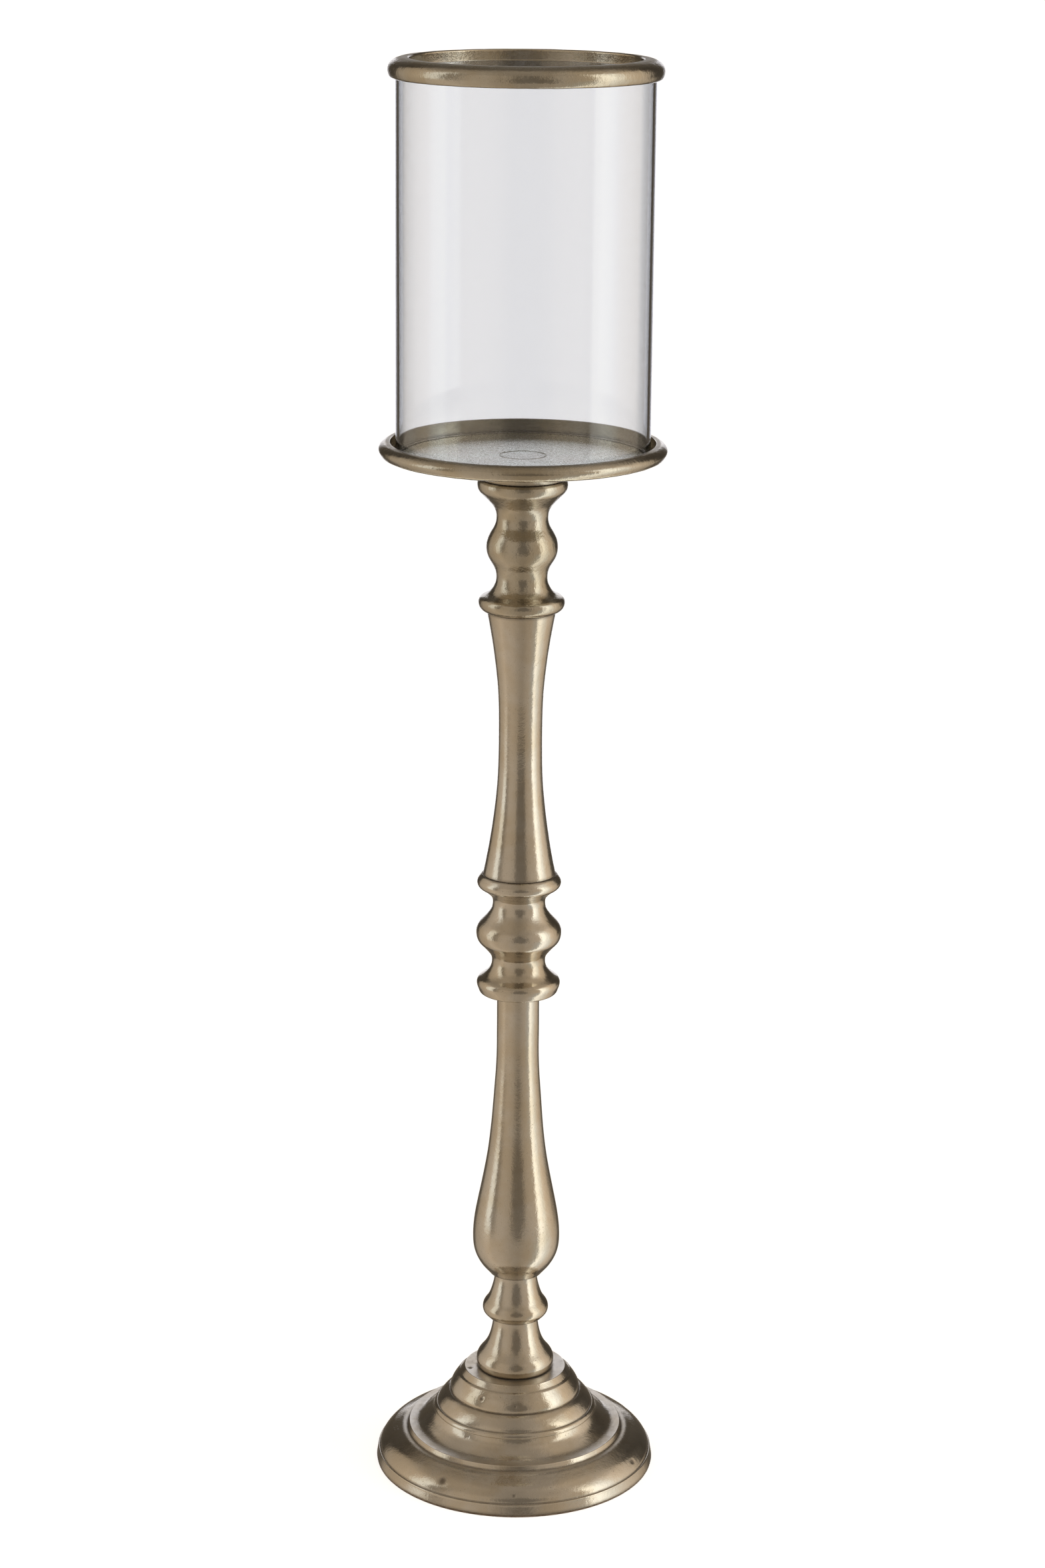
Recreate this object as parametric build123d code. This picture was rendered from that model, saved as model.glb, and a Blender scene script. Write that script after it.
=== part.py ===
from build123d import *
from math import cos, pi
import os

# Hurricane candle lantern on a tall turned stand.
# Every casting is a hollow turned shell.  The castings are stacked on a central
# threaded rod, drawn together by a nut in the base and a nut under the tray.
# A glass cylinder stands loose in the tray, and a rim ring hangs on its top edge.
# Millimetres.  Z is the stand's axis and z = 0 is the underside of the felt.

# ---------------------------------------------------------------- driving sizes
felt_thickness = 1.6
felt_outer_radius = 104.4
felt_inner_radius = 86.0

base_foot_radius = 104.8
base_top_z = 74.4            # flat that carries the large bell
large_bell_top_z = 115.6
small_bell_top_z = 151.3
lower_shaft_top_z = 373.0
knop_top_z = 464.4
upper_shaft_top_z = 660.0
neck_top_z = 756.0

tray_floor_z = 773.0         # where the candle and the glass stand
tray_rim_top_z = 782.8
tray_rim_radius = 102.2
tray_recess_radius = 93.6

glass_outer_radius = 90.0
glass_wall = 2.5
glass_top_z = 1042.4
glass_edge_round = 0.8

ring_crest_z = 1048.5
ring_skirt_z = 1034.4
ring_outer_radius = 95.5
ring_mouth_radius = 80.4
ring_lip_bottom_z = 1040.0
ring_groove_clearance = 0.8

end_web = 6.0                # closed end of each casting, with the rod hole in it
rod_radius = 4.0             # M8 studding, drawn at its major diameter
rod_hole_radius = 4.4
nut_bore_radius = 4.05
nut_across_flats = 13.0
nut_height = 6.5
coupling_nut_length = 30.0
rod_end_chamfer = 0.8

register_radius = 9.0        # spigot that centres one casting on the next
register_height = 2.0
register_clearance = 0.3

plug_radius = 16.4
plug_thickness = 2.5
pocket_radius = 11.0         # pocket under the plug, for the top nut
pocket_floor_z = 761.0

top_washer_radius = 9.0
top_washer_thickness = 1.6
base_web = 5.0
base_washer_radius = 15.0
base_washer_thickness = 2.0
lock_washer_radius = 7.2
lock_washer_thickness = 2.0
lock_washer_gap = 1.2
rod_tail = 5.0               # studding that shows below the base nut

axis_plane = Plane.XZ        # outlines are drawn as (radius, height)


# ---------------------------------------------------------------- turned shapes
def path(*points):
    """Straight runs through the points."""
    return Polyline(*points)


def curve(*points, start=None, end=None):
    """One smooth curve through the points, with optional end directions."""
    if start is None and end is None:
        return Spline(*points)
    return Spline(*points, tangents=[start, end])


def swell(*points):
    """Half a bead: a curve that leaves and arrives parallel to the axis."""
    return curve(*points, start=(0, 1), end=(0, 1))


def turn(*edges):
    """Solid of revolution of a closed outline of edges."""
    outline = Curve() + list(edges)
    return revolve(axis_plane * make_face(outline.edges()), Axis.Z)


def ring_of(inner, outer, low, high):
    """Plain round ring, or a disc where inner is 0."""
    section = path((inner, low), (outer, low), (outer, high), (inner, high), (inner, low))
    return turn(section)


def rod_hole(low, high):
    return ring_of(0, rod_hole_radius, low, high)


def closed_turn(side):
    """Solid of revolution of a side, given from bottom to top, closed to the axis."""
    low = side[0] @ 0
    high = side[-1] @ 1
    return turn(*side, path((high.X, high.Y), (0, high.Y), (0, low.Y), (low.X, low.Y)))


def casting(side, core, low, high):
    """Hollow stem casting: outer side, inner core, spigot below and recess above."""
    recess_depth = register_height + register_clearance
    shell = closed_turn(side) - closed_turn(core)
    shell += ring_of(0, register_radius, low - register_height, low)
    shell -= ring_of(0, register_radius + register_clearance, high - recess_depth, high)
    return shell - rod_hole(low - register_height, high)


def straight_core(radius, low, high):
    """Plain cylindrical core between the two end webs."""
    return [path((radius, low + end_web), (radius, high - end_web))]


# ---------------------------------------------------------------- base
def make_base():
    """Stepped foot: straight band, big roll, riser, cove and two smaller rolls."""
    web_z = base_top_z - base_web
    core_mouth = base_foot_radius - 5.5
    band_head = (103.6, 8.6)
    band_edge = (102.7, 9.4)
    roll_foot = (102.1, 9.6)
    roll_head = (81.8, 25.3)
    riser_foot = (80.9, 25.7)
    riser_head = (80.2, 28.9)
    cove_foot = (79.3, 29.5)
    bead_foot = (60.9, 41.4)
    bead_head = (59.1, 45.2)
    middle_roll_foot = (58.2, 45.4)
    ledge = (49.8, 55.3)
    upper_roll_foot = (48.6, 55.7)
    chamfer_foot = (41.0, 70.2)
    chamfer_head = (38.3, 73.8)
    flat_edge = (37.6, base_top_z)
    side = [
        path((core_mouth, felt_thickness), (base_foot_radius, felt_thickness), band_head),
        ThreePointArc(band_head, (103.4, 9.2), band_edge),
        path(band_edge, roll_foot),
        curve(roll_foot, (100.0, 14.8), (94.2, 20.1), (88.2, 23.1), roll_head,
              start=(0, 1), end=(-1, 0.15)),
        path(roll_head, riser_foot, riser_head),
        ThreePointArc(riser_head, (80.0, 29.35), cove_foot),
        curve(cove_foot, (72.5, 30.9), (66.3, 34.8), bead_foot, start=(-1, 0.1), end=(-0.35, 1)),
        ThreePointArc(bead_foot, (60.7, 43.6), bead_head),
        path(bead_head, middle_roll_foot),
        curve(middle_roll_foot, (57.2, 48.2), (54.4, 51.6), ledge, start=(0, 1), end=(-1, 0.5)),
        path(ledge, upper_roll_foot),
        curve(upper_roll_foot, (48.8, 58.4), (47.7, 61.8), (45.6, 65.4), (43.4, 68.5),
              chamfer_foot, start=(0.3, 1), end=(-1, 0.4)),
        path(chamfer_foot, chamfer_head),
        ThreePointArc(chamfer_head, (38.07, 74.2), flat_edge),
        path(flat_edge, (0, base_top_z), (0, web_z)),
    ]
    core = [
        path((0, web_z), (33.0, web_z), (38.0, 65.0), (42.6, 58.5)),
        curve((42.6, 58.5), (46.5, 52.0), (52.5, 46.5), (56.0, 39.0)),
        curve((56.0, 39.0), (62.0, 30.6), (70.5, 25.8), (77.0, 22.4)),
        curve((77.0, 22.4), (88.0, 18.6), (94.6, 13.0), (97.4, 7.0)),
        path((97.4, 7.0), (core_mouth, felt_thickness)),
    ]
    recess_depth = register_height + register_clearance
    shell = turn(*side, *core)
    shell -= ring_of(0, register_radius + register_clearance, base_top_z - recess_depth, base_top_z)
    return shell - rod_hole(web_z, base_top_z)


def make_base_felt():
    return ring_of(felt_inner_radius, felt_outer_radius, 0, felt_thickness)


# ---------------------------------------------------------------- stem castings
def make_large_bell():
    low, high = base_top_z, large_bell_top_z
    side = [
        curve((27.6, low), (29.2, 80.4), start=(0.6, 1), end=(0, 1)),
        swell((29.2, 80.4), (24.3, 90.3), (20.3, 97.2), (17.5, 107.5), (16.9, high)),
    ]
    core = [curve((23.2, low + end_web), (22.0, 87.0), (15.6, 96.0), (13.2, high - end_web))]
    return casting(side, core, low, high)


def make_small_bell():
    low, high = large_bell_top_z, small_bell_top_z
    side = [
        curve((20.4, low), (23.8, 119.4), (24.7, 122.8), start=(0.9, 1), end=(0, 1)),
        swell((24.7, 122.8), (21.3, 130.2), (18.3, 137.0), (16.3, 145.0), (15.9, high)),
    ]
    core = [curve((14.5, low + end_web), (18.0, 124.0), (13.4, 134.0), (12.0, high - end_web))]
    return casting(side, core, low, high)


def make_lower_shaft():
    """Long vase: a low belly that draws up into a slim straight shank."""
    low, high = small_bell_top_z, lower_shaft_top_z
    shank_radius = 15.6
    shank_foot = (shank_radius, 336.0)
    side = [
        curve((19.4, low), (25.6, 158.6), (29.6, 165.4), (32.4, 181.0), start=(0.8, 1), end=(0, 1)),
        swell((32.4, 181.0), (29.8, 205.0), (24.9, 230.0), (20.4, 259.0), (17.3, 297.0), shank_foot),
        path(shank_foot, (shank_radius, high)),
    ]
    core = [curve((15.0, low + end_web), (27.4, 181.0), (20.0, 232.0), (13.2, 290.0),
                  (11.4, high - end_web))]
    return casting(side, core, low, high)


def make_centre_knop():
    """Ball between two rounded discs."""
    low, high = lower_shaft_top_z, knop_top_z
    side = [
        path((16.0, low), (27.0, 373.6)),
        curve((27.0, 373.6), (29.3, 376.2), (30.6, 381.0), start=(1, 0.1), end=(0, 1)),
        swell((30.6, 381.0), (25.8, 386.9), (21.6, 391.2), (19.6, 398.2)),
        swell((19.6, 398.2), (23.0, 405.8), (26.4, 409.6), (31.2, 419.8)),
        swell((31.2, 419.8), (25.2, 430.8), (20.3, 437.4), (19.2, 443.0)),
        swell((19.2, 443.0), (22.6, 449.6), (26.6, 452.8), (30.7, 458.4)),
        curve((30.7, 458.4), (29.2, 461.9), (26.6, high), start=(0, 1), end=(-1, 0.4)),
    ]
    return casting(side, straight_core(14.6, low, high), low, high)


def make_upper_shaft():
    """Waisted shaft, flared at both ends."""
    low, high = knop_top_z, upper_shaft_top_z
    side = [curve((26.6, low), (22.8, 484.0), (19.0, 510.0), (16.6, 534.5), (15.8, 570.0),
                  (16.5, 600.0), (18.6, 621.5), (21.4, 641.0), (24.8, high))]
    core = [curve((21.0, low + end_web), (14.2, 512.0), (11.6, 573.0), (14.0, 622.0),
                  (18.6, high - end_web))]
    return casting(side, core, low, high)


def make_neck_casting():
    """Collar, bulb and flare under the tray."""
    low, high = upper_shaft_top_z, neck_top_z
    side = [
        curve((25.0, low), (28.6, 661.6), (31.1, 667.0), start=(1, 0.2), end=(0, 1)),
        swell((31.1, 667.0), (24.7, 673.2), (19.8, 679.2), (18.5, 685.2)),
        swell((18.5, 685.2), (22.4, 696.2), (25.7, 706.6)),
        swell((25.7, 706.6), (22.0, 718.6), (18.6, 728.4)),
        swell((18.6, 728.4), (23.7, 739.6), (29.5, 745.6), (32.4, 752.4)),
        curve((32.4, 752.4), (30.6, high), start=(0, 1), end=(-1, 0.5)),
    ]
    return casting(side, straight_core(13.4, low, high), low, high)


# ---------------------------------------------------------------- tray
def make_tray():
    """Candle tray: flat floor, upright recess wall, round bead rim and a hub below."""
    hub_foot = (30.0, neck_top_z)
    hub_root = (46.0, 765.2)
    wall_head = (tray_recess_radius, tray_rim_top_z - 0.8)
    rim_start = (tray_recess_radius + 0.9, tray_rim_top_z)
    rim_end = (97.2, 771.6)
    plate_edge = (93.0, 770.9)
    outline = [
        path((0, tray_floor_z), (tray_recess_radius, tray_floor_z), wall_head),
        ThreePointArc(wall_head, (tray_recess_radius + 0.25, tray_rim_top_z - 0.2), rim_start),
        curve(rim_start, (99.2, 781.4), (tray_rim_radius, 777.4), (100.6, 773.5), rim_end,
              start=(1, 0.05), end=(-1, -0.2)),
        path(rim_end, plate_edge, hub_root),
        curve(hub_root, (34.0, 761.8), hub_foot, start=(-1, -0.1), end=(-0.1, -1)),
        path(hub_foot, (0, neck_top_z), (0, tray_floor_z)),
    ]
    tray = turn(*outline)
    plug_seat_z = tray_floor_z - plug_thickness
    tray -= ring_of(0, plug_radius + 0.1, plug_seat_z, tray_floor_z)
    tray -= ring_of(0, pocket_radius, pocket_floor_z, plug_seat_z)
    return tray - rod_hole(neck_top_z, pocket_floor_z)


def make_tray_plug():
    """Flush disc that closes the nut pocket in the middle of the tray floor."""
    return ring_of(0, plug_radius, tray_floor_z - plug_thickness, tray_floor_z)


# ---------------------------------------------------------------- glass and rim
def make_glass():
    inner = glass_outer_radius - glass_wall
    tube = ring_of(inner, glass_outer_radius, tray_floor_z, glass_top_z)
    return fillet(tube.edges().filter_by(GeomType.CIRCLE), glass_edge_round)


def make_rim_ring():
    """Round bead with a groove below that sits over the top edge of the glass."""
    groove_outer = glass_outer_radius + ring_groove_clearance
    groove_inner = glass_outer_radius - glass_wall - ring_groove_clearance
    mouth_head = (ring_mouth_radius, ring_crest_z - 1.4)
    crest_start = (ring_mouth_radius + 1.6, ring_crest_z)
    skirt_end = (93.0, ring_skirt_z)
    lip_corner = (ring_mouth_radius, ring_lip_bottom_z + 1.2)
    lip_end = (ring_mouth_radius + 1.2, ring_lip_bottom_z)
    outline = [
        ThreePointArc(mouth_head, (ring_mouth_radius + 0.45, ring_crest_z - 0.4), crest_start),
        curve(crest_start, (89.2, 1047.6), (93.9, 1044.7), (ring_outer_radius, 1040.4), (94.7, 1036.2),
              skirt_end, start=(1, 0), end=(-1, -0.5)),
        path(skirt_end, (groove_outer, ring_skirt_z), (groove_outer, glass_top_z),
             (groove_inner, glass_top_z), (groove_inner, ring_lip_bottom_z), lip_end),
        ThreePointArc(lip_end, (ring_mouth_radius + 0.35, ring_lip_bottom_z + 0.35), lip_corner),
        path(lip_corner, mouth_head),
    ]
    return turn(*outline)


# ---------------------------------------------------------------- rods and fasteners
base_nut_top_z = base_top_z - base_web - base_washer_thickness - lock_washer_thickness
rod_foot_z = base_nut_top_z - nut_height - rod_tail
rod_join_z = (lower_shaft_top_z + knop_top_z) / 2
rod_join_gap = 0.5
rod_head_gap = 0.5           # air between the upper rod and the plug
rod_head_z = tray_floor_z - plug_thickness - rod_head_gap
top_washer_top_z = pocket_floor_z + top_washer_thickness


def make_rod(low, high):
    c = rod_end_chamfer
    section = path((0, low), (rod_radius - c, low), (rod_radius, low + c), (rod_radius, high - c),
                   (rod_radius - c, high), (0, high), (0, low))
    return turn(section)


def make_nut(low, height):
    """Hexagon nut with its corners turned back at both ends."""
    corner_radius = nut_across_flats / 2 / cos(pi / 6)
    corner_drop = 0.6
    flat_radius = nut_across_flats / 2 * 0.96
    high = low + height
    blank = extrude(Plane.XY.offset(low) * RegularPolygon(corner_radius, 6), height)
    crowned = turn(path((0, low), (flat_radius, low), (corner_radius, low + corner_drop),
                        (corner_radius, high - corner_drop), (flat_radius, high), (0, high), (0, low)))
    return (blank & crowned) - ring_of(0, nut_bore_radius, low, high)


def make_lock_washer(low):
    """Spring washer, split through on one side."""
    washer = ring_of(rod_hole_radius, lock_washer_radius, low, low + lock_washer_thickness)
    split = Box(lock_washer_radius, lock_washer_gap, 2 * lock_washer_thickness)
    return washer - Pos(lock_washer_radius, 0, low + lock_washer_thickness / 2) * split


def make_pieces():
    """Every node of the lantern, by name."""
    base_washer_top = base_top_z - base_web
    base_washer_low = base_washer_top - base_washer_thickness
    return {
        "rim_ring": make_rim_ring(),
        "glass_cylinder": make_glass(),
        "tray": make_tray(),
        "tray_plug": make_tray_plug(),
        "top_nut": make_nut(top_washer_top_z, nut_height),
        "top_washer": ring_of(rod_hole_radius, top_washer_radius, pocket_floor_z, top_washer_top_z),
        "neck_casting": make_neck_casting(),
        "upper_shaft": make_upper_shaft(),
        "centre_knop": make_centre_knop(),
        "lower_shaft": make_lower_shaft(),
        "small_bell": make_small_bell(),
        "large_bell": make_large_bell(),
        "base": make_base(),
        "base_felt": make_base_felt(),
        "base_washer": ring_of(rod_hole_radius, base_washer_radius, base_washer_low, base_washer_top),
        "lock_washer": make_lock_washer(base_nut_top_z),
        "base_nut": make_nut(base_nut_top_z - nut_height, nut_height),
        "coupling_nut": make_nut(rod_join_z - coupling_nut_length / 2, coupling_nut_length),
        "tie_rod_lower": make_rod(rod_foot_z, rod_join_z - rod_join_gap / 2),
        "tie_rod_upper": make_rod(rod_join_z + rod_join_gap / 2, rod_head_z),
    }


os.makedirs("parts", exist_ok=True)
pieces = make_pieces()
for name, piece in pieces.items():
    export_step(piece, f"parts/{name}.step")
    print(f"{name}: {piece.volume / 1000:.1f} cm3")
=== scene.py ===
from math import atan2, ceil, cos, pi, radians, sin

import bmesh
import bpy
import numpy as np
from mathutils import Matrix, Vector, noise


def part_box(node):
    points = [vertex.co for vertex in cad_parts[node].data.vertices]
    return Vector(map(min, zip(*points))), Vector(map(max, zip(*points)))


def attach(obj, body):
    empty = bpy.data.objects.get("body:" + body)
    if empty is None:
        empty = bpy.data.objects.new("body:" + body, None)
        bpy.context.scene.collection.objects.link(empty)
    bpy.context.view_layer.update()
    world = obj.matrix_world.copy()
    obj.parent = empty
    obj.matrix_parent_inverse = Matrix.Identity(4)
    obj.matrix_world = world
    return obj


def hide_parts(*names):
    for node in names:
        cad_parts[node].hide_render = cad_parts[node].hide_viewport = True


# Hurricane candle lantern.  Every visible casting is turned again from the outline of its CAD
# node, with the edges broken and the slight waves and dents of a hand-finished sand casting.
# All of that goes into the material, so no piece reaches past its CAD node.
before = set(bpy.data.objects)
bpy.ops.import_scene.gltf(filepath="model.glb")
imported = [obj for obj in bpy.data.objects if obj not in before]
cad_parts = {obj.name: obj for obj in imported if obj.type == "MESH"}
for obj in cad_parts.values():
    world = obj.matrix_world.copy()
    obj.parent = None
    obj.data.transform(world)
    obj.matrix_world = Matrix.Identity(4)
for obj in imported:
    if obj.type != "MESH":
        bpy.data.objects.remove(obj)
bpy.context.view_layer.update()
scene = bpy.context.scene
MM = 0.001
WELD = 1e-7                      # points nearer than this, in metres, are one
SAME_HEIGHT = 1e-5

# ---------------------------------------------------------------- sizes of the surface detail
CORNER_TURN = radians(15)        # an outline turning more than this at a point has a corner there
EDGE_BREAK = 0.22 * MM           # how far each corner is filed back
WAVE_DEPTH, WAVE_LENGTH = 0.16 * MM, 21 * MM        # out-of-round waves left by hand polishing
HAMMER_DEPTH, HAMMER_LENGTH = 0.035 * MM, 6.5 * MM  # finer unevenness of the cast skin
BEATEN_DEPTH, BEATEN_LENGTH = 0.16 * MM, 9 * MM     # flats left by filing
SAND_DEPTH, SAND_LENGTH = 0.09 * MM, 3.2 * MM       # grain of the mould on the tray floor
NAP_DEPTH, NAP_LENGTH = 0.16 * MM, 2.4 * MM         # nap and ragged cut of the felt
DRAW_DEPTH = 0.05 * MM                              # waves along the drawn glass tube
DRAW_LENGTHS = (0.035, 0.035, 0.25)
WEAR_REACH, WEAR_FULL = 0.7 * MM, 0.9               # edges this sharp, in 1/mm, are worn bright
TARNISH_AND_SHADE_REACH = 0.8 * MM                            # how far tarnish and painted shade spread from a groove or a joint
TARNISH_AND_SHADE_START, TARNISH_AND_SHADE_RISE = 0.2, 0.4              # hollow bend, in 1/mm, that gathers tarnish and painted shade

# ---------------------------------------------------------------- fineness of the meshes
STEM_SEGMENTS, WIDE_SEGMENTS, GLASS_SEGMENTS, PLUG_SEGMENTS = 144, 384, 192, 96
STEM_SPACING, WIDE_SPACING, RIM_SPACING = 1.3 * MM, 1.2 * MM, 0.9 * MM
GLASS_SPACING, FELT_SPACING, FELT_EDGE = 6 * MM, 1.6 * MM, 0.3 * MM

TRAY_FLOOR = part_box("tray_plug")[1].z
SPIGOT = 2 * MM                  # height of the spigot below each stem casting


# ---------------------------------------------------------------- outlines read from the CAD nodes
def cad_outline(node):
    """Outline of a turned node as (radius, height) points with the material on the left."""
    mesh = bmesh.new()
    mesh.from_mesh(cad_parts[node].data)
    bmesh.ops.remove_doubles(mesh, verts=mesh.verts, dist=WELD)
    everything = mesh.verts[:] + mesh.edges[:] + mesh.faces[:]
    cut = bmesh.ops.bisect_plane(mesh, geom=everything, dist=WELD,
                                 plane_co=(0, 0, 0), plane_no=(0, 1, 0))
    links = {}
    for edge in cut["geom_cut"]:
        if not isinstance(edge, bmesh.types.BMEdge):
            continue
        reach = [v.co.x for v in edge.verts]
        if min(reach) > -WELD and max(reach) > 10 * WELD:
            a, b = edge.verts
            links.setdefault(a, []).append(b)
            links.setdefault(b, []).append(a)
    ends = [v for v in links if len(links[v]) == 1]
    start = min(ends or links, key=lambda v: (round(v.co.z, 6), -v.co.x))
    chain, before = [start], None
    while True:
        onward = [v for v in links[chain[-1]]
                  if v is not before and (v is not start or len(chain) > 2)]
        before = chain[-1]
        if not onward or onward[0] is start:
            break
        chain.append(onward[0])
    points = np.array([(max(v.co.x, 0.0), v.co.z) for v in chain])
    mesh.free()
    after = np.roll(points, -1, axis=0)
    area = np.sum(points[:, 0] * after[:, 1] - after[:, 0] * points[:, 1])
    return points if area > 0 else points[::-1]


def smooth_outline(points, spacing, coarse):
    """The closed outline with rows at about the spacing.  coarse(a, b) keeps a run as it is."""
    count = len(points)
    step = np.roll(points, -1, axis=0) - points
    length = np.linalg.norm(step, axis=1)
    heading = step / length[:, None]
    turn = [atan2(heading[i - 1][0] * heading[i][1] - heading[i - 1][1] * heading[i][0],
                  heading[i - 1] @ heading[i]) for i in range(count)]
    corner = [abs(t) > CORNER_TURN for t in turn]
    much_longer = 3

    def tangent(i):
        """Direction at a smooth point: a long run beside a short one is straight."""
        if length[i - 1] > much_longer * length[i]:
            return heading[i - 1]
        if length[i] > much_longer * length[i - 1]:
            return heading[i]
        mean = heading[i - 1] * length[i] + heading[i] * length[i - 1]
        return mean / np.linalg.norm(mean)

    rows = []
    for i in range(count):
        j = (i + 1) % count
        rows.append((points[i][0], points[i][1], corner[i]))
        if coarse(points[i], points[j]):
            continue
        pieces = ceil(length[i] / spacing)
        leave = heading[i] if corner[i] else tangent(i)
        arrive = heading[i] if corner[j] else tangent(j)
        if corner[i] and not corner[j]:
            leave = 2 * (heading[i] @ arrive) * heading[i] - arrive
        if corner[j] and not corner[i]:
            arrive = 2 * (heading[i] @ leave) * heading[i] - leave
        for k in range(1, pieces):
            t = k / pieces
            here = ((1 + 2 * t) * (1 - t) ** 2 * points[i] + t * (1 - t) ** 2 * length[i] * leave
                    + t * t * (3 - 2 * t) * points[j] - t * t * (1 - t) * length[i] * arrive)
            rows.append((here[0], here[1], False))
    return rows


def break_edges(rows, size):
    """Every corner filed back to a small round, which takes less than half of a short run."""
    out = []
    count = len(rows)
    for i, (r, z, corner) in enumerate(rows):
        here = np.array((r, z))
        if not corner or r == 0:
            out.append((r, z))
            continue
        ends = []
        for other in (rows[i - 1], rows[(i + 1) % count]):
            way = np.array(other[:2]) - here
            reach = np.linalg.norm(way)
            ends.append(here + way / reach * min(size, 0.4 * reach))
        middle = 0.5 * here + 0.25 * (ends[0] + ends[1])
        out += [tuple(ends[0]), tuple(middle), tuple(ends[1])]
    return np.array(out)


def outward(points):
    """Unit normals of the closed outline, away from the material."""
    along = np.roll(points, -1, axis=0) - np.roll(points, 1, axis=0)
    normal = np.stack([along[:, 1], -along[:, 0]], axis=1)
    return normal / np.maximum(np.linalg.norm(normal, axis=1), 1e-9)[:, None]


def bend_of(points, reach):
    """Signed curvature of the closed outline, in 1/mm, averaged over the reach: edges above 0."""
    step = np.roll(points, -1, axis=0) - points
    length = np.linalg.norm(step, axis=1)
    before = np.roll(step, 1, axis=0)
    turn = np.arctan2(before[:, 0] * step[:, 1] - before[:, 1] * step[:, 0], (before * step).sum(1))
    place = np.concatenate([[0], np.cumsum(length)[:-1]])
    total = length.sum()
    gap = np.abs(place[:, None] - place[None, :])
    gap = np.minimum(gap, total - gap)
    weight = np.exp(-0.5 * (gap / reach) ** 2) / (reach / MM * (2 * pi) ** 0.5)
    return weight @ turn


# ---------------------------------------------------------------- turning
def mesh_piece(name, verts, faces, materials, indices=None):
    data = bpy.data.meshes.new(name)
    data.from_pydata([tuple(v) for v in verts], [], faces)
    for material in materials:
        data.materials.append(material)
    data.polygons.foreach_set("use_smooth", [True] * len(data.polygons))
    if indices is not None:
        data.polygons.foreach_set("material_index", indices)
    piece = bpy.data.objects.new(name, data)
    scene.collection.objects.link(piece)
    data.update()
    return piece


def point_value(piece, name, values):
    attribute = piece.data.attributes.new(name, "FLOAT", "POINT")
    attribute.data.foreach_set("value", np.asarray(values, np.float32))


def uneven(points, depth, length, shift=(0, 0, 0)):
    """Smooth noise at each point, from 0 to the depth, with waves of about the length."""
    shift = Vector(shift)
    return np.array([depth * (0.5 + 0.5 * noise.noise(Vector(p) / length + shift)) for p in points])


def cast_waves(points, seed):
    """Depth of a casting's unevenness at each point."""
    shift = (seed * 3.7, seed * 1.3, 0)
    return (uneven(points, WAVE_DEPTH, WAVE_LENGTH, shift)
            + uneven(points, HAMMER_DEPTH, HAMMER_LENGTH, shift))


def filed_flats(points, seed):
    return uneven(points, BEATEN_DEPTH, BEATEN_LENGTH, (seed * 2.1, 0, 0))


def beaten_waves(points, seed):
    """The cast unevenness with the flats that filing leaves."""
    return cast_waves(points, seed) + filed_flats(points, seed)


def turned(name, spacing, segments, materials, seed=0, coarse=None, contacts=(), dents=(),
           waves=cast_waves, material_of=None, size=EDGE_BREAK):
    """Closed turned piece from a CAD node's outline.

    coarse(a, b) tells which runs of the outline are hidden and stay plain.  contacts are
    (radius, height) places where another piece stands, which gather tarnish and painted shade.
    dents are (azimuth, radius, height, width, depth) in degrees and mm, azimuth 0 at the front,
    and are darkened with tarnish and painted shade too.
    waves(points, seed) gives the depth of the unevenness, and material_of(a, b) the slot
    of a run.
    """
    outline = cad_outline(name)
    coarse = coarse or (lambda a, b: False)
    rows = smooth_outline(outline, spacing, coarse)
    section = break_edges(rows, size)
    normal = outward(section)
    count = len(section)
    angle = np.arange(segments) * 2 * pi / segments
    ring = np.stack([np.sin(angle), -np.cos(angle)], axis=1)
    verts = np.empty((count, segments, 3))
    verts[:, :, :2] = section[:, None, :1] * ring[None]
    verts[:, :, 2] = section[:, 1:2]
    away = np.empty_like(verts)
    away[:, :, :2] = normal[:, None, :1] * ring[None]
    away[:, :, 2] = normal[:, 1:2]
    flat = verts.reshape(-1, 3)
    hidden = np.array([coarse(section[i - 1], section[(i + 1) % count]) for i in range(count)])
    depth = waves(flat, seed).reshape(count, segments)
    depth[hidden] = 0
    soil_and_shade = np.zeros((count, segments))
    # Each dent is pressed in and darkened: tarnish and painted shade in its hollow.
    for azimuth, radius, height, width, drop in dents:
        a = radians(azimuth)
        centre = np.array((radius * sin(a), -radius * cos(a), height)) * MM
        gap = np.linalg.norm(verts - centre, axis=2) / (width * MM / 2)
        bowl = np.exp(-gap ** 4)
        depth += drop * MM * bowl
        soil_and_shade = np.maximum(soil_and_shade, bowl)
    verts -= away * depth[:, :, None]

    faces = []
    indices = []
    for i in range(count):
        onward = (i + 1) % count
        index = material_of(section[i], section[onward]) if material_of else 0
        here, there = i * segments, onward * segments
        for j in range(segments):
            k = (j + 1) % segments
            faces.append((here + j, here + k, there + k, there + j))
            indices.append(index)
    piece = mesh_piece(name + "_cast", flat, faces, materials, indices)

    # Convex edges are worn bright.  Hollows, and the joints at the contacts, darken with tarnish and
    # painted shade.
    wear = np.clip(bend_of(section, WEAR_REACH) / WEAR_FULL, 0, 1)
    hollow = -bend_of(section, TARNISH_AND_SHADE_REACH)
    grime = np.clip((hollow - TARNISH_AND_SHADE_START) / TARNISH_AND_SHADE_RISE, 0, 1)
    for radius, height in contacts:
        gap = np.hypot(section[:, 0] - radius, section[:, 1] - height) / TARNISH_AND_SHADE_REACH
        grime = np.maximum(grime, np.exp(-0.5 * gap ** 2))
    point_value(piece, "wear", np.repeat(wear, segments))
    point_value(piece, "grime", np.maximum(grime[:, None], soil_and_shade).ravel())
    return piece


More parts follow.
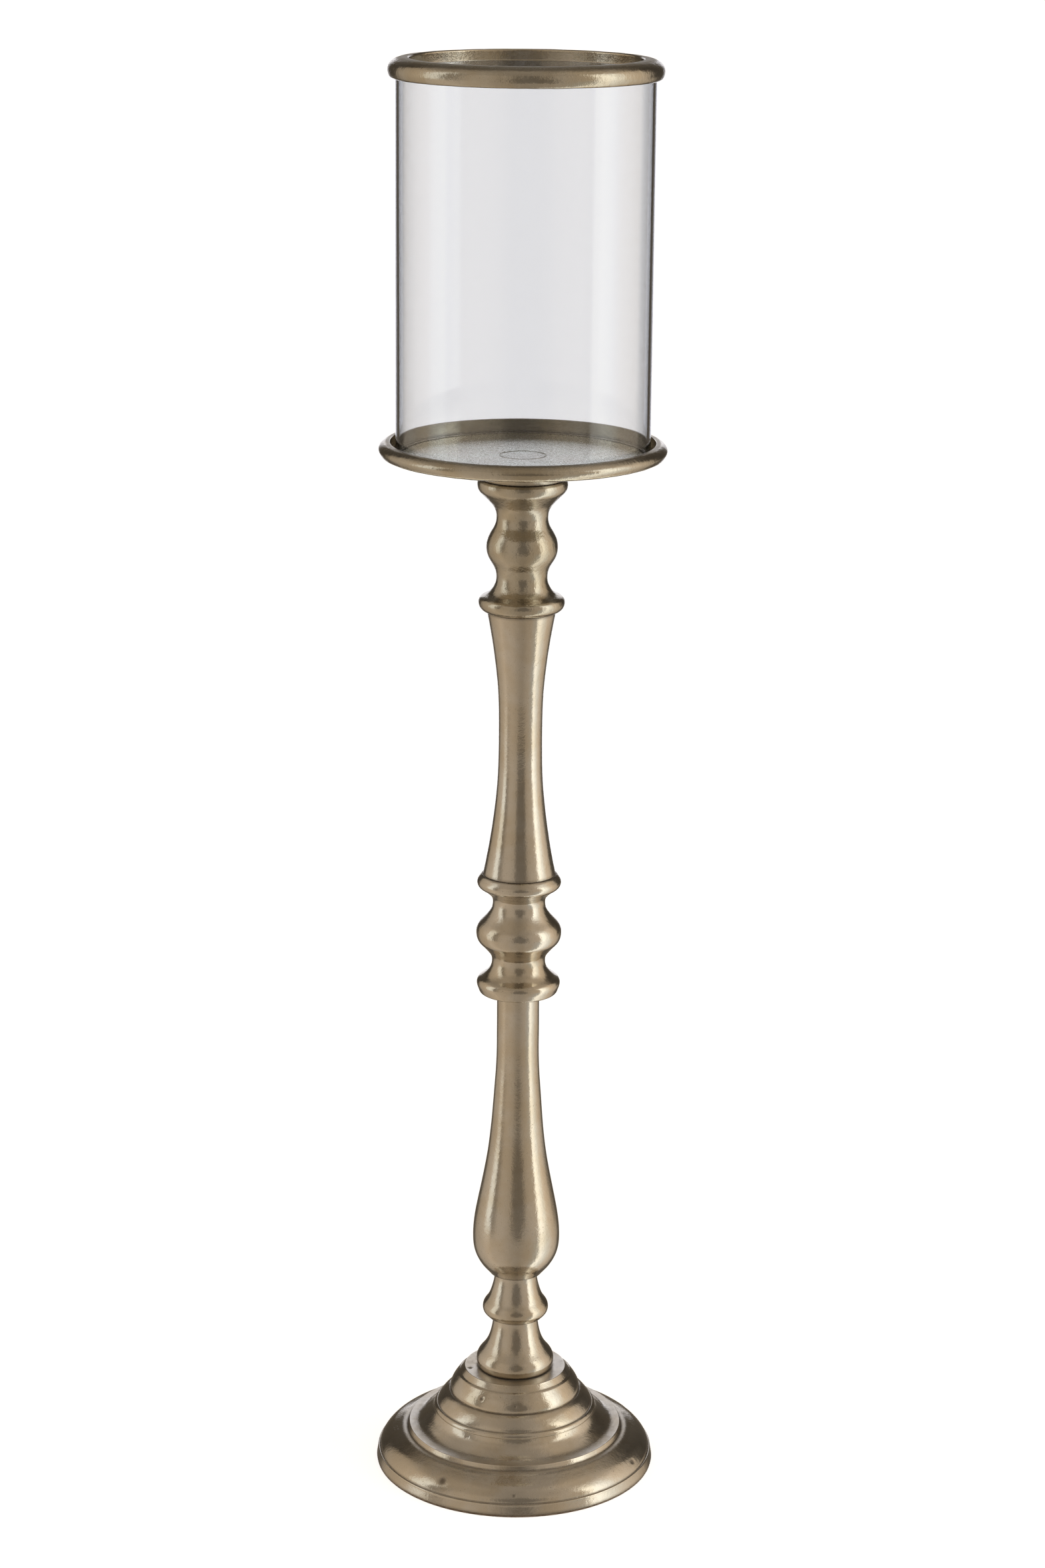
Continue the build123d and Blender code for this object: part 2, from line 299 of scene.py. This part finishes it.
# ---------------------------------------------------------------- shader graphs
class Graph:
    """Short way to add nodes: graph(kind, settings, input=value or socket), i0 the first input."""

    def __init__(self, tree):
        self.tree = tree
        tree.nodes.clear()

    def __call__(self, kind, settings=None, **inputs):
        node = self.tree.nodes.new("ShaderNode" + kind)
        for key, value in (settings or {}).items():
            setattr(node, key, value)
        for key, value in inputs.items():
            index = int(key[1:]) if key[0] == "i" and key[1:].isdigit() else key.replace("_", " ")
            self.feed(node.inputs[index], value)
        return node

    def feed(self, socket, value):
        if isinstance(value, bpy.types.NodeSocket):
            self.tree.links.new(value, socket)
        elif isinstance(value, tuple) and len(value) == 3 and socket.type == "RGBA":
            socket.default_value = value + (1,)
        else:
            socket.default_value = value

    def math(self, operation, a, b=0.0, c=0.0, clamp=False):
        settings = {"operation": operation, "use_clamp": clamp}
        return self("Math", settings, i0=a, i1=b, i2=c).outputs[0]

    def noise(self, where, scale, detail=2.0, rough=0.5):
        node = self("TexNoise", None, Vector=where, Scale=scale, Detail=detail, Roughness=rough)
        return node.outputs[0]

    def between(self, value, low, high, to_low=0.0, to_high=1.0):
        """Smooth step of a value from low to high."""
        settings = {"interpolation_type": "SMOOTHSTEP"}
        return self("MapRange", settings, i0=value, i1=low, i2=high, i3=to_low, i4=to_high).outputs[0]

    def mix(self, amount, a, b):
        """Colour a, or as the amount rises to 1 colour b."""
        node = self("Mix", {"data_type": "RGBA"})
        self.feed(node.inputs[0], amount)
        self.feed(node.inputs[6], a)
        self.feed(node.inputs[7], b)
        return node.outputs[2]

    def ramp(self, value, stops):
        """Colours along a value from 0 to 1, from (place, colour) stops."""
        node = self("ValToRGB", None, Fac=value)
        marks = node.color_ramp.elements
        while len(marks) < len(stops):
            marks.new(0.5)
        for mark, (place, colour) in zip(marks, stops):
            mark.position = place
            mark.color = tuple(colour) + (1,)
        return node.outputs[0]

    def bump(self, height, distance, normal=None):
        node = self("Bump", None, Height=height, Distance=distance, Strength=1.0)
        if normal is not None:
            self.feed(node.inputs["Normal"], normal)
        return node.outputs[0]

    def value(self, name):
        return self("Attribute", {"attribute_name": name}).outputs["Fac"]

    def where(self):
        return self("TexCoord").outputs["Object"]

    def bounces(self):
        """How often the light has been reflected on the way to the camera."""
        seen = self("LightPath")
        return self.math("ADD", seen.outputs["Glossy Depth"], seen.outputs["Diffuse Depth"])

    def finish_metal(self, colour, roughness, normal):
        shader = self("BsdfPrincipled", None, Base_Color=colour, Metallic=1.0, Roughness=roughness,
                      Normal=normal)
        self.finish(shader)

    def finish(self, shader):
        self("OutputMaterial", None, Surface=shader.outputs[0])


def new_material(name):
    material = bpy.data.materials.new(name)
    material.use_nodes = True
    return material, Graph(material.node_tree)


def scaled(colour, *factors):
    """A colour times one factor, or one for each channel, no brighter than white."""
    factors = factors * 3 if len(factors) == 1 else factors
    return tuple(min(c * f, 1.0) for c, f in zip(colour, factors))


# ---------------------------------------------------------------- materials
# Noise scales are in waves per metre, and bump distances in metres.
# Dark colour of pits and specks, and of the tarnish and painted shade in hollows, joints and dents.
TARNISH_AND_SHADE = (0.085, 0.062, 0.042)
SAND_TARNISH_AND_SHADE = (0.09, 0.066, 0.046)


def nickel(name, tone=(0.620, 0.575, 0.505), rough=0.105, grain=1.0):
    """Cast aluminium with a warm nickel finish: mottled, finely grained, with small pits."""
    material, g = new_material(name)
    where = g.where()
    wear = g.value("wear")
    grime = g.value("grime")
    cloud = g.noise(where, 34.0, 3.0, 0.55)
    mottle = g.noise(where, 210.0, 4.0, 0.6)
    grit = g.noise(where, 950.0, 2.0, 0.55)
    fine = g.noise(where, 2600.0, 2.0, 0.6)

    warm, cool = scaled(tone, 0.95, 0.915, 0.85), scaled(tone, 1.03, 1.045, 1.07)
    colour = g.mix(g.between(cloud, 0.36, 0.64), warm, cool)
    colour = g.mix(g.between(mottle, 0.56, 0.80, 0.0, 0.32), colour, scaled(tone, 0.72))
    colour = g.mix(g.between(wear, 0.25, 0.9, 0.0, 0.55), colour, scaled(tone, 1.22))

    cells = g("TexVoronoi", {"feature": "F1"}, Vector=where, Scale=430.0, Randomness=1.0)
    chosen = g.between(g.noise(where, 60.0, 1.0), 0.60, 0.70)
    pit = g.math("MULTIPLY", g.between(cells.outputs["Distance"], 0.04, 0.20, 1.0, 0.0), chosen)
    speck = g.between(grit, 0.66, 0.74)
    dark = g.math("MULTIPLY", pit, 0.55)
    dark = g.math("MAXIMUM", dark, g.math("MULTIPLY", speck, 0.30))
    # Darkening in hollows, joints and dents: tarnish and painted shade.
    soil_and_shade = g.math("MULTIPLY", grime, g.between(mottle, 0.25, 0.60, 0.72, 1.0))
    dark = g.math("MAXIMUM", dark, g.math("MULTIPLY", soil_and_shade, 0.80))
    colour = g.mix(dark, colour, TARNISH_AND_SHADE)

    roughness = g.between(mottle, 0.30, 0.72, rough - 0.035, rough + 0.055)
    roughness = g.math("ADD", roughness, g.between(grit, 0.45, 0.75, 0.0, 0.06))
    roughness = g.math("ADD", roughness, g.math("MULTIPLY", soil_and_shade, 0.28))
    # Level faces are less polished than the rounds.
    level = g("SeparateXYZ", None, Vector=g("NewGeometry").outputs["Normal"]).outputs["Z"]
    roughness = g.math("ADD", roughness, g.between(level, 0.90, 0.985, 0.0, 0.24))
    roughness = g.math("SUBTRACT", roughness, g.math("MULTIPLY", wear, 0.05), clamp=True)

    normal = g.bump(g.noise(where, 150.0, 2.0, 0.5), 0.00010 * grain)
    normal = g.bump(g.noise(where, 430.0, 3.0, 0.6), 0.00008 * grain, normal)
    normal = g.bump(grit, 0.00004 * grain, normal)
    normal = g.bump(fine, 0.000008 * grain, normal)
    normal = g.bump(g.math("MULTIPLY", pit, -1.0), 0.00006, normal)
    g.finish_metal(colour, roughness, normal)
    return material


def sand_cast(name, tone, rough, depth):
    """Unpolished sand-cast skin with the coarse grain of the mould."""
    material, g = new_material(name)
    where = g.where()
    grime = g.value("grime")
    cloud = g.noise(where, 45.0, 4.0, 0.6)
    sand = g.noise(where, 620.0, 3.0, 0.65)
    coarse = g.noise(where, 240.0, 3.0, 0.6)
    colour = g.mix(g.between(cloud, 0.35, 0.68), tone, scaled(tone, 1.10))
    colour = g.mix(g.between(sand, 0.58, 0.72, 0.0, 0.45), colour, scaled(tone, 0.70))
    # Darkening in hollows and joints: tarnish and painted shade.
    soil_and_shade = g.math("MULTIPLY", grime, g.between(coarse, 0.25, 0.60, 0.7, 1.0))
    colour = g.mix(g.math("MULTIPLY", soil_and_shade, 0.75), colour, SAND_TARNISH_AND_SHADE)
    roughness = g.between(sand, 0.30, 0.70, rough - 0.07, rough + 0.09)
    roughness = g.math("ADD", roughness, g.math("MULTIPLY", soil_and_shade, 0.2), clamp=True)
    normal = g.bump(coarse, depth * 2.2)
    normal = g.bump(sand, depth, normal)
    g.finish_metal(colour, roughness, normal)
    return material


def clear_glass():
    """Clear drawn glass with a faint draw ripple and a few smears."""
    material, g = new_material("clear_glass")
    where = g.where()
    stretched = g("Mapping", None, Vector=where, Scale=(70.0, 70.0, 5.0)).outputs[0]
    ripple = g.noise(stretched, 1.0, 1.0, 0.4)
    smear = g.noise(where, 28.0, 3.0, 0.6)
    roughness = g.between(smear, 0.55, 0.80, 0.0, 0.02)
    normal = g.bump(ripple, 0.00002)
    shader = g("BsdfPrincipled", None, Base_Color=(0.844, 0.864, 0.902), Roughness=roughness,
               Normal=normal, IOR=1.47, Transmission_Weight=1.0)
    g.finish(shader)
    return material


def zinc():
    """Zinc plating of the rods, nuts and washers."""
    material, g = new_material("zinc_plate")
    where = g.where()
    cloud = g.noise(where, 180.0, 4.0, 0.6)
    fine = g.noise(where, 2400.0, 2.0, 0.6)
    colour = g.mix(g.between(cloud, 0.35, 0.66), (0.60, 0.61, 0.60), (0.70, 0.68, 0.62))
    colour = g.mix(g.between(fine, 0.60, 0.75, 0.0, 0.4), colour, (0.30, 0.29, 0.27))
    roughness = g.between(cloud, 0.30, 0.70, 0.24, 0.40)
    normal = g.bump(fine, 0.00002)
    g.finish_metal(colour, roughness, normal)
    return material


def felt():
    """Short-haired brown felt."""
    material, g = new_material("brown_felt")
    where = g.where()
    fibre = g.noise(where, 1500.0, 5.0, 0.75)
    tuft = g.noise(where, 320.0, 4.0, 0.65)
    colour = g.mix(g.between(tuft, 0.35, 0.65), (0.15, 0.105, 0.07), (0.24, 0.175, 0.12))
    colour = g.mix(g.between(fibre, 0.55, 0.75, 0.0, 0.6), colour, (0.34, 0.26, 0.19))
    normal = g.bump(tuft, 0.0004)
    normal = g.bump(fibre, 0.0002, normal)
    shader = g("BsdfPrincipled", None, Base_Color=colour, Roughness=0.96, Normal=normal,
               Sheen_Weight=0.35, Sheen_Roughness=0.6)
    g.finish(shader)
    return material


metal = nickel("nickel_cast")
dark_metal = nickel("nickel_dark", tone=(0.52, 0.480, 0.405), rough=0.105, grain=1.8)
floor_metal = sand_cast("nickel_sand_cast", (0.96, 0.905, 0.76), 0.24, 0.00010)
raw_metal = sand_cast("raw_casting", (0.42, 0.40, 0.37), 0.55, 0.00009)
glass_material = clear_glass()
zinc_material = zinc()
felt_material = felt()


# ---------------------------------------------------------------- the castings
def is_core(a, b):
    """Runs that face the axis, the hidden cores and rod holes: the outline goes down them."""
    return b[1] - a[1] < -0.2 * np.hypot(*(b - a))


STEM = ["large_bell", "small_bell", "lower_shaft", "centre_knop", "upper_shaft", "neck_casting"]


def end_places(node):
    """Outer ends of a stem casting's side, where it meets its neighbours."""
    points = cad_outline(node)
    low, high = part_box(node)
    foot = max(p[0] for p in points if abs(p[1] - low.z - SPIGOT) < SAME_HEIGHT)
    head = max(p[0] for p in points if abs(p[1] - high.z) < SAME_HEIGHT)
    return [(foot, low.z + SPIGOT), (head, high.z)]


for number, node in enumerate(STEM):
    finish, waves = (dark_metal, beaten_waves) if node == "neck_casting" else (metal, cast_waves)
    piece = turned(node, STEM_SPACING, STEM_SEGMENTS, [finish], seed=number + 1, coarse=is_core,
                   contacts=end_places(node), waves=waves)
    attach(piece, "stand")
    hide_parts(node)

bell_foot = end_places("large_bell")[0]
foot_edge = (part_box("base")[1].x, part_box("base")[0].z)
BASE_DENTS = [    # the last three are at the back
    (-32.5, 46.2, 64.0, 3.6, 0.80),
    (0.5, 47.9, 61.9, 2.2, 0.45),
    (-33, 97.3, 18.1, 6.6, 0.45),
    (-34, 62.1, 39.1, 1.8, 0.30),
    (-35.5, 62.6, 38.4, 1.4, 0.25),
    (-33.5, 54.6, 50.0, 1.6, 0.25),
    (0, 99.8, 15.2, 2.4, 0.30),
    (-78, 34.6, 74.4, 3.2, 0.45),
    (64, 99.0, 16.0, 4.0, 0.30),
    (150, 70.5, 31.8, 4.0, 0.40),
    (205, 47.5, 62.0, 3.4, 0.50),
    (118, 98.0, 17.2, 5.0, 0.35),
]
base = turned("base", WIDE_SPACING, WIDE_SEGMENTS, [metal, raw_metal], seed=11, coarse=is_core,
              contacts=[bell_foot, foot_edge], dents=BASE_DENTS,
              material_of=lambda a, b: 1 if is_core(a, b) else 0)
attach(base, "stand")
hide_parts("base")


# ---------------------------------------------------------------- tray
def tray_waves(points, seed):
    """Filed flats on the rim and wall, and a coarser sand-cast skin on the floor."""
    on_floor = np.abs(points[:, 2] - TRAY_FLOOR) < 0.05 * MM
    skin = np.where(on_floor, uneven(points, SAND_DEPTH, SAND_LENGTH), filed_flats(points, seed))
    return cast_waves(points, seed) + skin


def on_tray_floor(a, b):
    """Material slot 1 for the runs of the tray's floor."""
    return 1 if max(abs(a[1] - TRAY_FLOOR), abs(b[1] - TRAY_FLOOR)) < 0.5 * MM else 0


def inside_pocket(a, b):
    """Nut pocket and rod hole, shut in by the plug."""
    return max(a[0], b[0]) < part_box("tray_plug")[1].x + 0.2 * MM


neck_head = end_places("neck_casting")[1]
tray = turned("tray", WIDE_SPACING, WIDE_SEGMENTS, [dark_metal, floor_metal], seed=21,
              coarse=inside_pocket, contacts=[neck_head], waves=tray_waves,
              material_of=on_tray_floor)
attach(tray, "stand")
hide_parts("tray")


def disc(name, node, segments, spacing, waves, seed, material):
    """Solid disc from its CAD box, with a broken edge and an uneven top."""
    low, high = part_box(node)
    radius = high.x
    rings = ceil(radius / spacing)
    part_way = 0.3 * EDGE_BREAK
    flat = [radius * k / rings for k in range(1, rings - 1)]
    profile = [(r, low.z) for r in flat + [radius * (rings - 1) / rings]]
    profile += [(radius - EDGE_BREAK, low.z), (radius - part_way, low.z + part_way)]
    profile += [(radius, low.z + EDGE_BREAK), (radius, high.z - EDGE_BREAK)]
    profile += [(radius - part_way, high.z - part_way), (radius - EDGE_BREAK, high.z)]
    profile += [(r, high.z) for r in flat[::-1]]
    verts = [(0, 0, low.z)]
    for r, z in profile:
        for j in range(segments):
            a = 2 * pi * j / segments
            verts.append((r * sin(a), -r * cos(a), z))
    verts.append((0, 0, high.z))
    verts = np.array(verts)
    drop = waves(verts, seed)
    verts[:, 2] -= np.where(verts[:, 2] > high.z - 0.01 * MM, drop, 0)
    faces = [(0, 1 + (j + 1) % segments, 1 + j) for j in range(segments)]
    for i in range(len(profile) - 1):
        for j in range(segments):
            k = (j + 1) % segments
            a, b = 1 + i * segments, 1 + (i + 1) * segments
            faces.append((a + j, a + k, b + k, b + j))
    last = 1 + (len(profile) - 1) * segments
    faces += [(last + j, last + (j + 1) % segments, len(verts) - 1) for j in range(segments)]
    piece = mesh_piece(name, verts, faces, [material])
    rim = np.hypot(verts[:, 0], verts[:, 1])
    point_value(piece, "wear", np.zeros(len(verts)))
    point_value(piece, "grime", 0.3 * np.exp(-0.5 * ((radius - rim) / (0.5 * MM)) ** 2))
    return piece


plug = disc("tray_plug_cast", "tray_plug", PLUG_SEGMENTS, WIDE_SPACING, tray_waves, 22, floor_metal)
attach(plug, "stand")
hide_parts("tray_plug")

# ---------------------------------------------------------------- rim ring and glass
rim = turned("rim_ring", RIM_SPACING, WIDE_SEGMENTS, [dark_metal], seed=31, waves=beaten_waves)
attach(rim, "rim")
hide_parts("rim_ring")


def glass_waves(points, seed):
    """Long shallow draw waves of a drawn glass tube."""
    return uneven(points / DRAW_LENGTHS, DRAW_DEPTH, 1)


glass = turned("glass_cylinder", GLASS_SPACING, GLASS_SEGMENTS, [glass_material], waves=glass_waves)
glass.name = "glass_tube"
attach(glass, "glass")
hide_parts("glass_cylinder")


# ---------------------------------------------------------------- felt and fasteners
def felt_waves(points, seed):
    """Ragged cut edge and soft nap."""
    return uneven(points, NAP_DEPTH, NAP_LENGTH)


felt_ring = turned("base_felt", FELT_SPACING, WIDE_SEGMENTS, [felt_material], waves=felt_waves,
                   size=FELT_EDGE)
felt_ring.name = "felt_ring"
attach(felt_ring, "stand")
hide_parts("base_felt")

for node in ("top_nut", "top_washer", "base_washer", "lock_washer", "base_nut", "coupling_nut",
             "tie_rod_upper", "tie_rod_lower"):
    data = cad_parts[node].data
    data.materials.clear()
    data.materials.append(zinc_material)


# ---------------------------------------------------------------- studio
TAN, BOX, WALL = (1.19, 0.995, 0.77), (1.06, 1.02, 0.91), (0.985, 0.98, 1.035)  # tints of light
METAL_REFLECTANCE = 0.53
DISPLAY_GAMMA = 2.2
OVERHEAD = 108                   # brightness straight above
FLOOR_GLOW = 0.76                # lifts the pale floor to the white of the background
FLOOR_HALF = 40.0
LENS, SENSOR = 81.5, 36.0
CAMERA_DISTANCE, CAMERA_HEIGHT = 2.4739, 1.2268
PITCH, PAN, ROLL = radians(15.6946), radians(-0.041), radians(0.52)

# Studio light by azimuth in degrees, 0 at the front, as the brightness that the metal shows
# under it, with a tint where it isn't tan: below the horizon, about it and high up.
AROUND_LOW = [
    (-180, 118), (-166, 72), (-150, 66), (-143, 86), (-134, 122), (-98, 141), (-84, 148),
    (-68, 138), (-40, 132), (-8, 115), (7, 112), (37, 126), (61, 142, BOX), (66, 230, BOX),
    (75, 222, BOX), (90, 188, BOX), (112, 156), (134, 132), (144, 82), (152, 62), (166, 72),
    (180, 118)]
AROUND_MIDDLE = [
    (-180, 70), (-161, 60), (-140, 50), (-132, 124), (-96, 148), (-91, 190, BOX), (-77, 190, BOX),
    (-72, 98), (-62, 112), (-54, 130), (-38, 130), (-20, 122), (-6, 96), (1, 80), (9, 80),
    (21, 114), (37, 128), (61, 140), (65, 244, BOX), (74, 238, BOX), (86, 204, BOX), (98, 172),
    (121, 142), (129, 62), (143, 50), (161, 60), (180, 70)]
AROUND_TOP = [
    (-180, 74), (-152, 80), (-136, 106), (-98, 117), (-68, 122), (-38, 117), (0, 101), (37, 117),
    (67, 136), (97, 136), (127, 126), (152, 92), (180, 74)]


def studio_light(brightness, tint=TAN):
    """Light under which the nickel shows the given display brightness, 0 to 255."""
    return tuple(c * (brightness / 255) ** DISPLAY_GAMMA / METAL_REFLECTANCE for c in tint)


def build_world():
    """Soft studio for the reflections, plain white where the camera looks straight at it."""
    world = bpy.data.worlds.new("studio")
    scene.world = world
    world.use_nodes = True
    g = Graph(world.node_tree)
    part = g("SeparateXYZ", None, Vector=g("TexCoord").outputs["Generated"])
    azimuth = g.math("ARCTAN2", part.outputs["X"], g.math("MULTIPLY", part.outputs["Y"], -1.0))
    turn = g.math("MULTIPLY_ADD", azimuth, 1 / (2 * pi), 0.5)
    height = part.outputs["Z"]

    def around(stops):
        return g.ramp(turn, [((degree + 180) / 360, studio_light(*light)) for degree, *light in stops])

    colour = g.mix(g.between(height, -0.34, -0.12), around(AROUND_LOW), around(AROUND_MIDDLE))
    colour = g.mix(g.between(height, 0.52, 0.80), colour, around(AROUND_TOP))
    colour = g.mix(g.between(height, 0.90, 0.98), colour, studio_light(OVERHEAD))
    direct = g.math("LESS_THAN", g.bounces(), 0.5)
    colour = g.mix(direct, colour, (1.0, 1.0, 1.0))
    back = g("Background", None, Color=colour, Strength=1.0)
    g("OutputWorld", None, Surface=back.outputs[0])


def seen_clear(g, shader, reflected):
    """Finish a studio material that shows only in reflections, or only outside them."""
    clear = g("BsdfTransparent")
    direct, bounced = (clear, shader) if reflected else (shader, clear)
    share = g.math("GREATER_THAN", g.bounces(), 0.5)
    g.finish(g("MixShader", None, Fac=share, i1=direct.outputs[0], i2=bounced.outputs[0]))


def studio_face(name, corners):
    """Single studio face from its four corners."""
    data = bpy.data.meshes.new(name)
    data.from_pydata(corners, [], [(0, 1, 2, 3)])
    face = bpy.data.objects.new(name, data)
    scene.collection.objects.link(face)
    return face


def build_floor():
    """Plain pale floor.  Reflections see the studio in its place."""
    half = FLOOR_HALF
    corners = [(-half, -half, 0), (half, -half, 0), (half, half, 0), (-half, half, 0)]
    floor = studio_face("studio_floor", corners)
    material, g = new_material("pale_floor")
    lit = g("BsdfDiffuse", None, Color=(0.88, 0.88, 0.88))
    glow = g("Emission", None, Color=(1.0, 1.0, 1.0), Strength=FLOOR_GLOW)
    both = g("AddShader", None, i0=lit.outputs[0], i1=glow.outputs[0])
    seen_clear(g, both, reflected=False)
    floor.data.materials.append(material)
    floor.location.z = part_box("base_felt")[0].z - 0.05 * MM


def studio_card(name, y, left, right, head, brightness, tint, fade):
    """Upright card across Y that shows only in reflections, with soft sides and top."""
    card = studio_face(name, [(left, y, 0), (right, y, 0), (right, y, head), (left, y, head)])
    material, g = new_material(name)
    place = g("SeparateXYZ", None, Vector=g.where())
    share = g.between(place.outputs["X"], left, left + fade)
    share = g.math("MULTIPLY", share, g.between(place.outputs["X"], right - fade, right, 1.0, 0.0))
    share = g.math("MULTIPLY", share, g.between(place.outputs["Z"], head - fade, head, 1.0, 0.0))
    glow = g("Emission", None, Color=studio_light(brightness, tint), Strength=1.0)
    soft = g("MixShader", None, Fac=share, i1=g("BsdfTransparent").outputs[0], i2=glow.outputs[0])
    seen_clear(g, soft, reflected=True)
    card.data.materials.append(material)


def build_camera():
    camera = bpy.data.objects.new("camera", bpy.data.cameras.new("camera"))
    scene.collection.objects.link(camera)
    camera.data.lens = LENS
    camera.data.sensor_width = SENSOR
    camera.data.clip_end = 200.0
    turn = (Matrix.Rotation(PAN, 4, "Z") @ Matrix.Rotation(pi / 2 - PITCH, 4, "X")
            @ Matrix.Rotation(ROLL, 4, "Z"))
    camera.matrix_world = Matrix.Translation((0, -CAMERA_DISTANCE, CAMERA_HEIGHT)) @ turn
    scene.camera = camera


build_world()
build_floor()
studio_card("studio_wall", y=1.6, left=-0.58, right=0.58, head=1.38, brightness=200, tint=WALL,
            fade=0.16)
studio_card("studio_dark", y=-2.1, left=-0.80, right=1.20, head=1.60, brightness=84, tint=TAN,
            fade=0.60)
build_camera()
scene.view_settings.view_transform = "Standard"
